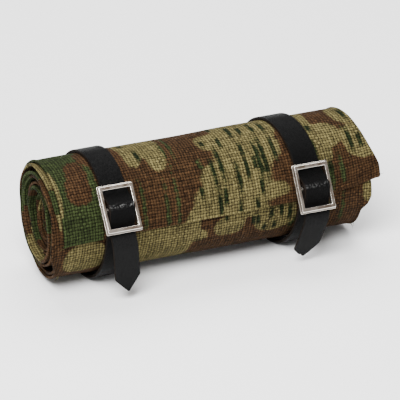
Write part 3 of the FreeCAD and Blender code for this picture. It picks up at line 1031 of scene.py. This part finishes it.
def make_frays(cloth):
    """Loose yarn ends at the corners of the cloth: thin tapered tubes on bent lines."""
    starts = [
        # x, angle, radius, direction (along the roll, out, forward round it), length
        (0.6, 134.0, 44.4, (-0.7, 0.9, 0.35), 4.5), (1.4, 139.0, 44.3, (-0.6, 1.0, 0.6), 3.8),
        (247.0, 89.0, 45.6, (0.8, 0.5, -0.2), 4.0), (240.5, 139.0, 44.0, (0.3, 0.9, 0.5), 6.0),
        (242.5, 137.0, 44.0, (0.1, 1.0, 0.4), 4.0), (1.0, 96.0, 44.0, (-1.0, 0.4, 0.2), 4.0),
        (258.0, 75.0, 44.4, (1.0, 0.2, 0.5), 4.0), (241.0, 93.0, 45.2, (0.4, 0.8, 0.6), 3.0),
    ]
    t = np.linspace(0.0, 1.0, 12)[:, None]
    around = np.linspace(0.0, 2 * np.pi, 7)[None, :-1]
    all_points, faces = [], []
    for index, (x, angle, radius, way, length) in enumerate(starts):
        sine, cosine = math.sin(math.radians(angle)), math.cos(math.radians(angle))
        out = np.array([0.0, -sine, cosine])
        forward = np.array([0.0, -cosine, -sine])
        direction = way[0] * np.array([1.0, 0.0, 0.0]) + way[1] * out + way[2] * forward
        direction /= np.linalg.norm(direction)
        bend = np.cross(direction, out + 0.4 * forward)
        bend /= np.linalg.norm(bend)
        second = np.cross(direction, bend)
        base = np.array([x + LEFT_END, radius * out[1], radius * out[2] + AXIS_Z])
        curl = 0.9 * np.sin(t * 4.2 + index) - 0.9 * math.sin(index)
        line = base + direction * length * t + bend * curl + second * 0.5 * t * t * length * 0.4
        thick = 0.24 * (1.0 - 0.75 * t)
        ring = bend * np.cos(around)[..., None] + second * np.sin(around)[..., None]
        points = line[:, None, :] + thick[..., None] * ring
        first = sum(len(part) for part in all_points)
        faces += [[corner + first for corner in face] for face in closed_tube(12, 6)]
        all_points.append(placed(*points.reshape(-1, 3).T))
    points = np.concatenate(all_points)
    count = len(points)
    fields = {"cloth": points, "green": np.full(count, -9.0), "khaki": np.full(count, 9.0),
              "stroke": np.full(count, -9.0)}
    return mesh_piece("canvas_frays", points, faces, fields, cloth, [], "canvas")


# Leather


def leather_section(settings):
    """Closed section of the strap, with rounded edges and its faces divided across."""
    half = STRAP_WIDTH / 2
    across = np.linspace(-half, half, 15)[1:-1]
    corners = rounded_outline(
        [(-half, -HALF_LEATHER), (half, -HALF_LEATHER), (half, HALF_LEATHER), (-half, HALF_LEATHER)],
        settings.edge * MM * 1.3, 4)
    low, high = corners[:10], corners[10:]
    bottom = np.column_stack([across, np.full(across.shape, -HALF_LEATHER)])
    top = np.column_stack([across[::-1], np.full(across.shape, HALF_LEATHER)])
    return np.concatenate([low[:5], bottom, low[5:], high[:5], top, high[5:]])


def leather_fields(section, run, crest, strength, scuff_and_painted_light):
    """Place on the leather, its cut edges, its crease at a run along it, and how much lighter it is
    painted, as painted light and partly scuffing.
    """
    across = np.broadcast_to(section[:, 0], (len(run), len(section)))
    depth = np.broadcast_to(section[:, 1], across.shape)
    runs = np.broadcast_to(run[:, None], across.shape)
    cut = smooth_step((np.abs(across) - (STRAP_WIDTH / 2 - 0.4)) / 0.35)
    crease = strength * np.exp(-((runs - crest) / 1.1) ** 2)
    place = np.stack([across, runs, depth], -1).reshape(-1, 3) / MM
    lightened = np.broadcast_to(scuff_and_painted_light[:, None], across.shape)
    return {"leather": place, "cut_edge": cut.ravel(), "crease": crease.ravel(), "scuff_and_painted_light": lightened.ravel()}


def carry(section, y, z, heading, width=1.0):
    """Section carried along a path: (x from the middle, y - n sin h, z + n cos h)."""
    along_y, along_z = unit(heading)
    lift = section[:, 1][None, :]
    return (section[:, 0][None, :] * width, y[:, None] - lift * along_z[:, None],
            z[:, None] + lift * along_y[:, None])


def make_band(side, strap, settings, leather):
    """The strap from its sewn end, round the roll and through the buckle, to under its lower bar."""
    places = layout(strap)
    y, z, heading, run = stations(places["band"], 1.1)
    section = leather_section(settings)
    over = places["band"][4]
    crest_y, crest_z = at_heading(over, (over[3] + over[4]) / 2 - 8.0)
    after = run > run[-1] * 0.6
    distance = np.where(after, np.hypot(y - crest_y, z - crest_z), 1e9)
    crest = run[np.argmin(distance)]
    across, ys, zs = carry(section, y, z, heading)
    swell = 0.35 * np.exp(-((run - crest) / 1.3) ** 2)[:, None] * (section[:, 1] < 0)
    out_y, out_z = round_roll(strap["buckle_angle"], 1.0)
    ys = ys + swell * out_y
    zs = np.maximum(zs + swell * (out_z - AXIS_Z), 0.0)
    x = strap_middle(strap, ys, zs) + across
    fields = leather_fields(section, run, crest, strap["crackle_glint_strength"], 0 * run)
    return mesh_piece(side + "_strap", placed(x, ys, zs), closed_tube(len(y), len(section)), fields,
                      leather, [side + "_strap_band"], side + "_strap")


def make_tail(side, strap, settings, leather):
    """The free end from under the lower bar to its point, which bends where it leaves the buckle.

    Each side of the section is narrowed towards the point, in proportion to the distance from it,
    and the point itself is a small arc: half width = sqrt(2 r s - s^2) at a distance s.
    """
    places = layout(strap)
    y, z, heading, run = stations(places["tail"], 0.7)
    section = leather_section(settings)
    to_tip = run[-1] - run
    left_length, right_length = strap["point"]
    spread, tip_radius = strap["blunt"]
    near_tip = np.clip(to_tip, 0.15, tip_radius)
    half_arc = np.sqrt(2 * tip_radius * near_tip - near_tip ** 2)
    arc = np.where(to_tip < tip_radius, half_arc / (STRAP_WIDTH / 2), 1.0)
    left = np.minimum(np.clip((to_tip + spread) / left_length, 0.0, 1.0), arc)[:, None]
    right = np.minimum(np.clip((to_tip + spread) / right_length, 0.0, 1.0), arc)[:, None]
    width = np.where(section[:, 0][None, :] < 0.0, left, right)
    across, ys, zs = carry(section, y, z, heading, width)
    hinge_y, hinge_z = places["hinge"]
    along_y, along_z = unit(strap["tail_heading"])
    past = np.maximum((ys - hinge_y) * along_y + (zs - hinge_z) * along_z, 0.0)
    lean = math.tan(math.radians(strap["tail_lean"]))
    near = strap_middle(strap, ys, zs)
    far = strap_middle(strap, hinge_y, hinge_z) - lean * past
    x = np.where(past > 0.0, far, near) + across
    fields = leather_fields(section, run + TAIL_GRAIN_START, 0.0, 0.0, smooth_step(run / LIGHTENED_RUN))
    tail = mesh_piece(side + "_tail", placed(x, ys, zs), closed_tube(len(y), len(section)), fields,
                      leather, [side + "_strap_tail"], None)
    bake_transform(tail)
    return tail


def make_seam(side, strap, thread):
    """Running stitch through both layers of the sewn end: a thread on a clipped sine."""
    y, z, heading = layout(strap)["seam"]
    along_y, along_z = unit(heading)
    run = TURNED_END - STITCH_SETBACK
    y, z = y + run * along_y, z + run * along_z
    phase = np.linspace(-0.25, 4.25, 180)
    span = STRAP_THICKNESS + PLY_GAP / 2
    wave = np.clip(3.2 * np.sin(np.pi * phase), -1.0, 1.0)
    depth = STRAP_THICKNESS / 2 + PLY_GAP / 2 + (span + 0.12) * wave
    line_x = strap_middle(strap, y, z) + STITCH_SPACING * (phase - 2.0)
    line = np.stack([line_x, y - depth * along_z, z + depth * along_y], -1)
    tangent = np.gradient(line, axis=0)
    tangent /= np.linalg.norm(tangent, axis=1, keepdims=True)
    first = np.broadcast_to(np.array([0.0, along_y, along_z]), tangent.shape)
    second = np.cross(tangent, first)
    around = np.linspace(0.0, 2 * np.pi, 9)[:-1]
    ring = first[:, None] * np.cos(around)[None, :, None] + second[:, None] * np.sin(around)[None, :, None]
    points = (line[:, None] + 0.35 * ring).reshape(-1, 3)
    length = np.concatenate([[0.0], np.cumsum(np.linalg.norm(np.diff(line, axis=0), axis=1))]) / MM
    lengths = np.repeat(length, 8)
    fields = {"thread": np.column_stack([lengths, np.tile(around, len(phase)), 0 * lengths])}
    return mesh_piece(side + "_seam", placed(*points.T), closed_tube(len(phase), 8), fields, thread,
                      [side + "_strap_stitches"], side + "_strap")


# Buckles


def place_on_buckle(strap, x, up, out):
    """Points of the buckle, x along its bar, up along its frame and out of its face, in their place."""
    places = layout(strap)
    bar_y, bar_z = places["bar"]
    up_y, up_z = unit(places["frame_angle"])
    middle = strap_middle(strap, bar_y, bar_z)
    return placed(middle + x, bar_y + up * up_y - out * up_z, bar_z + up * up_z + out * up_y)


def metal_fields(x, up, out, wear_and_light):
    """Place on the metal, and how worn it is there, with painted highlight on the bright edges and, where
    negative, painted shade.
    """
    return {"metal": np.stack([x, up, out], -1).reshape(-1, 3) / MM,
            "wear_and_light_edge": np.broadcast_to(wear_and_light, x.shape).ravel()}


def make_frame(side, strap, settings, nickel):
    """Stepped rectangular frame: a section carried round a rectangle with rounded corners.

    A point of the section at depth q from the frame's outside lies on the rectangle that is q
    times a bar's width over the mean width inside the outer one, side and cross bars each with
    their own width.
    """
    back, step, front = -FRAME_DEPTH / 2, -FRAME_DEPTH / 2 + FLANGE_DEPTH, FRAME_DEPTH / 2
    mean = sum(BARS) / 2
    edge = settings.edge * MM
    section = rounded_outline(
        [(0.0, back), (0.0, step), (RIM_STEP, step), (RIM_STEP, front), (mean, front), (mean, back)],
        [edge, edge, edge * 0.6, edge * 1.9, edge * 1.6, edge * 1.5], 5)
    corner = np.linspace(0.0, np.pi / 2, 7)
    quarter = np.concatenate([corner + k * np.pi / 2 for k in range(4)])
    sign_x = np.repeat([1, -1, -1, 1], 7)
    sign_y = np.repeat([1, 1, -1, -1], 7)
    depth = section[:, 0][None, :] / mean
    radius = FRAME_CORNER + (0.5 - FRAME_CORNER) * depth
    half_x = WINDOW[0] / 2 + BARS[0] * (1.0 - depth)
    half_y = WINDOW[1] / 2 + BARS[1] * (1.0 - depth)
    x = sign_x[:, None] * (half_x - radius) + radius * np.cos(quarter)[:, None]
    up = sign_y[:, None] * (half_y - radius) + radius * np.sin(quarter)[:, None]
    out = np.broadcast_to(section[:, 1], x.shape)
    # Each straight side between two corners is divided into eight
    rows = []
    for row in range(len(x)):
        rows.append((x[row], up[row], out[row]))
        if row % 7 == 6:
            after = (row + 1) % len(x)
            for share in np.linspace(0.0, 1.0, 9)[1:-1]:
                rows.append(tuple(part[row] * (1 - share) + part[after] * share for part in (x, up, out)))
    x, up, out = (np.array([row[k] for row in rows]) for k in range(3))
    points = place_on_buckle(strap, x, up, out)
    # Edge field per corner of the section: high values are worn edges that are also painted highlight,
    # negative ones painted shade in the recessed corners.
    peak = np.array([0.4, 0.75, -1.0, 0.95, 0.95, -0.6])[:, None]
    on_corner = peak * np.array([0.0, 0.55, 1.0, 1.0, 0.55, 0.0])[None, :]
    faces = grid_faces(len(x), len(section), wrap_rows=True)
    fields = metal_fields(x, up, out, on_corner.ravel())
    return mesh_piece(side + "_frame", points, faces, fields, nickel, [side + "_buckle_frame"],
                      side + "_buckle")


def make_bar(side, strap, nickel):
    """Round centre bar, its ends rounded over: a circle carried along X, smaller at each end."""
    half = WINDOW[0] / 2 + BAR_SEAT
    ends = np.array([0.0, 0.06, 0.2, 0.45])
    x = np.concatenate([-half + ends, np.linspace(-half + 1.2, half - 1.2, 16), (half - ends)[::-1]])
    taper = np.array([0.7, 0.86, 0.96, 1.0])
    radius = BAR_RADIUS * np.concatenate([taper, np.ones(16), taper[::-1]])
    around = np.linspace(0.0, 2 * np.pi, 33)[:-1]
    up = radius[:, None] * np.cos(around)
    out = radius[:, None] * np.sin(around)
    x = np.broadcast_to(x[:, None], up.shape)
    points = place_on_buckle(strap, x, up, out)
    fields = metal_fields(x, up, out, 0.6)
    return mesh_piece(side + "_bar", points, closed_tube(len(x), 32), fields, nickel,
                      [side + "_buckle_bar"], side + "_buckle")


# Stage


def area_light(name, place, target, size, power):
    """Square soft light at a place, turned to its target."""
    data = bpy.data.lights.new(name, "AREA")
    data.shape = "SQUARE"
    data.size = size
    data.energy = power
    light = bpy.data.objects.new(name, data)
    bpy.context.scene.collection.objects.link(light)
    light.location = place
    light.rotation_mode = "QUATERNION"
    light.rotation_quaternion = (Vector(target) - Vector(place)).to_track_quat("-Z", "Y")
    return light


def make_stage(settings):
    """Pale floor, even sky, two soft lights and the camera."""
    mesh = bpy.data.meshes.new("floor")
    mesh.from_pydata([(-6, -6, 0), (6, -6, 0), (6, 6, 0), (-6, 6, 0)], [], [(0, 1, 2, 3)])
    paint, _, shader = material("floor_paint")
    shader.inputs["Base Color"].default_value = (*settings.floor, 1.0)
    shader.inputs["Roughness"].default_value = 0.9
    shader.inputs["Specular IOR Level"].default_value = 0.1
    mesh.materials.append(paint)
    floor = bpy.data.objects.new("floor", mesh)
    bpy.context.scene.collection.objects.link(floor)
    world = bpy.data.worlds.new("sky")
    world.use_nodes = True
    background = world.node_tree.nodes["Background"]
    background.inputs["Color"].default_value = (1.0, 1.0, 1.0, 1.0)
    background.inputs["Strength"].default_value = settings.sky
    bpy.context.scene.world = world
    area_light("key_light", (-0.7, -0.9, 1.5), (0.0, 0.0, 0.04), 1.1, 97.0)
    area_light("top_light", (0.3, 0.9, 1.4), (0.0, 0.0, 0.05), 1.2, 36.0)
    azimuth, elevation = settings.azimuth, settings.elevation
    back = Vector((math.sin(azimuth) * math.cos(elevation), -math.cos(azimuth) * math.cos(elevation),
                   math.sin(elevation)))
    target = Vector((VIEW_MIDDLE[0], AXIS_Y, VIEW_MIDDLE[1])) / MM
    data = bpy.data.cameras.new("camera")
    data.sensor_width = 36.0
    data.lens = 36.0 * settings.distance / settings.width
    data.clip_start, data.clip_end = 0.05, 50.0
    camera = bpy.data.objects.new("camera", data)
    bpy.context.scene.collection.objects.link(camera)
    camera.location = target + back * settings.distance
    camera.rotation_mode = "QUATERNION"
    camera.rotation_quaternion = (-back).to_track_quat("-Z", "Y")
    bpy.context.scene.camera = camera


# Operators


class BUMPER_OT_materials(bpy.types.Operator):
    """Make the shared patterns and the materials"""

    bl_idname = "bumper.materials"
    bl_label = "Make Materials"

    def execute(self, context):
        make_weave_group()
        make_grain_group()
        make_wear_group()
        make_canvas_material(context.scene.bumper_canvas)
        make_leather_material(context.scene.bumper_leather)
        make_nickel_material(context.scene.bumper_metal)
        make_thread_material(context.scene.bumper_metal)
        return {"FINISHED"}


class BUMPER_OT_canvas(bpy.types.Operator):
    """Make the folded and rolled sheet with its loose yarns"""

    bl_idname = "bumper.canvas"
    bl_label = "Make Canvas"

    def execute(self, context):
        cloth = bpy.data.materials["printed_canvas"]
        sheet, length = make_canvas(context.scene.bumper_canvas, cloth)
        frays = make_frays(cloth)
        return {"FINISHED"}


class BUMPER_OT_straps(bpy.types.Operator):
    """Make both straps, from their sewn ends to their buckles"""

    bl_idname = "bumper.straps"
    bl_label = "Make Straps"

    def execute(self, context):
        for side, strap in STRAPS.items():
            make_band(side, strap, context.scene.bumper_leather, bpy.data.materials["black_leather"])
            make_seam(side, strap, bpy.data.materials["seam_thread"])
        return {"FINISHED"}


class BUMPER_OT_tails(bpy.types.Operator):
    """Make the free pointed ends of both straps"""

    bl_idname = "bumper.tails"
    bl_label = "Make Tails"

    def execute(self, context):
        for side, strap in STRAPS.items():
            make_tail(side, strap, context.scene.bumper_leather, bpy.data.materials["black_leather"])
        return {"FINISHED"}


class BUMPER_OT_buckles(bpy.types.Operator):
    """Make both buckles: frame and centre bar"""

    bl_idname = "bumper.buckles"
    bl_label = "Make Buckles"

    def execute(self, context):
        nickel = bpy.data.materials["worn_nickel"]
        for side, strap in STRAPS.items():
            make_frame(side, strap, context.scene.bumper_metal, nickel)
            make_bar(side, strap, nickel)
        return {"FINISHED"}


class BUMPER_OT_stage(bpy.types.Operator):
    """Make the floor, the lights and the camera"""

    bl_idname = "bumper.stage"
    bl_label = "Make Stage"

    def execute(self, context):
        make_stage(context.scene.bumper_stage)
        return {"FINISHED"}


OPERATORS = (BUMPER_OT_materials, BUMPER_OT_canvas, BUMPER_OT_straps, BUMPER_OT_tails,
             BUMPER_OT_buckles, BUMPER_OT_stage)
SETTINGS = {
    "bumper_canvas": CanvasSettings, "bumper_leather": LeatherSettings, "bumper_metal": MetalSettings,
    "bumper_stage": StageSettings,
}


class BUMPER_PT_panel(bpy.types.Panel):
    """Settings and steps of the bumper"""

    bl_idname = "BUMPER_PT_panel"
    bl_label = "Rolled Canvas Bumper"
    bl_space_type = "VIEW_3D"
    bl_region_type = "UI"
    bl_category = "Bumper"

    def draw(self, context):
        for name, settings in SETTINGS.items():
            box = self.layout.box()
            box.label(text=name.replace("bumper_", "").title())
            for key in settings.__annotations__:
                box.prop(getattr(context.scene, name), key)
        for operator in OPERATORS:
            self.layout.operator(operator.bl_idname)


def register():
    """Register the settings, the steps and the panel."""
    for kind in (*SETTINGS.values(), *OPERATORS, BUMPER_PT_panel):
        bpy.utils.register_class(kind)
    for name, kind in SETTINGS.items():
        setattr(bpy.types.Scene, name, bpy.props.PointerProperty(type=kind))


def unregister():
    """Remove them again."""
    for name in SETTINGS:
        delattr(bpy.types.Scene, name)
    for kind in reversed((*SETTINGS.values(), *OPERATORS, BUMPER_PT_panel)):
        bpy.utils.unregister_class(kind)


def main():
    """Make everything in order."""
    register()
    bpy.ops.bumper.stage()
    bpy.ops.bumper.materials()
    bpy.ops.bumper.canvas()
    bpy.ops.bumper.straps()
    bpy.ops.bumper.tails()
    bpy.ops.bumper.buckles()


if __name__ == "__main__":
    main()
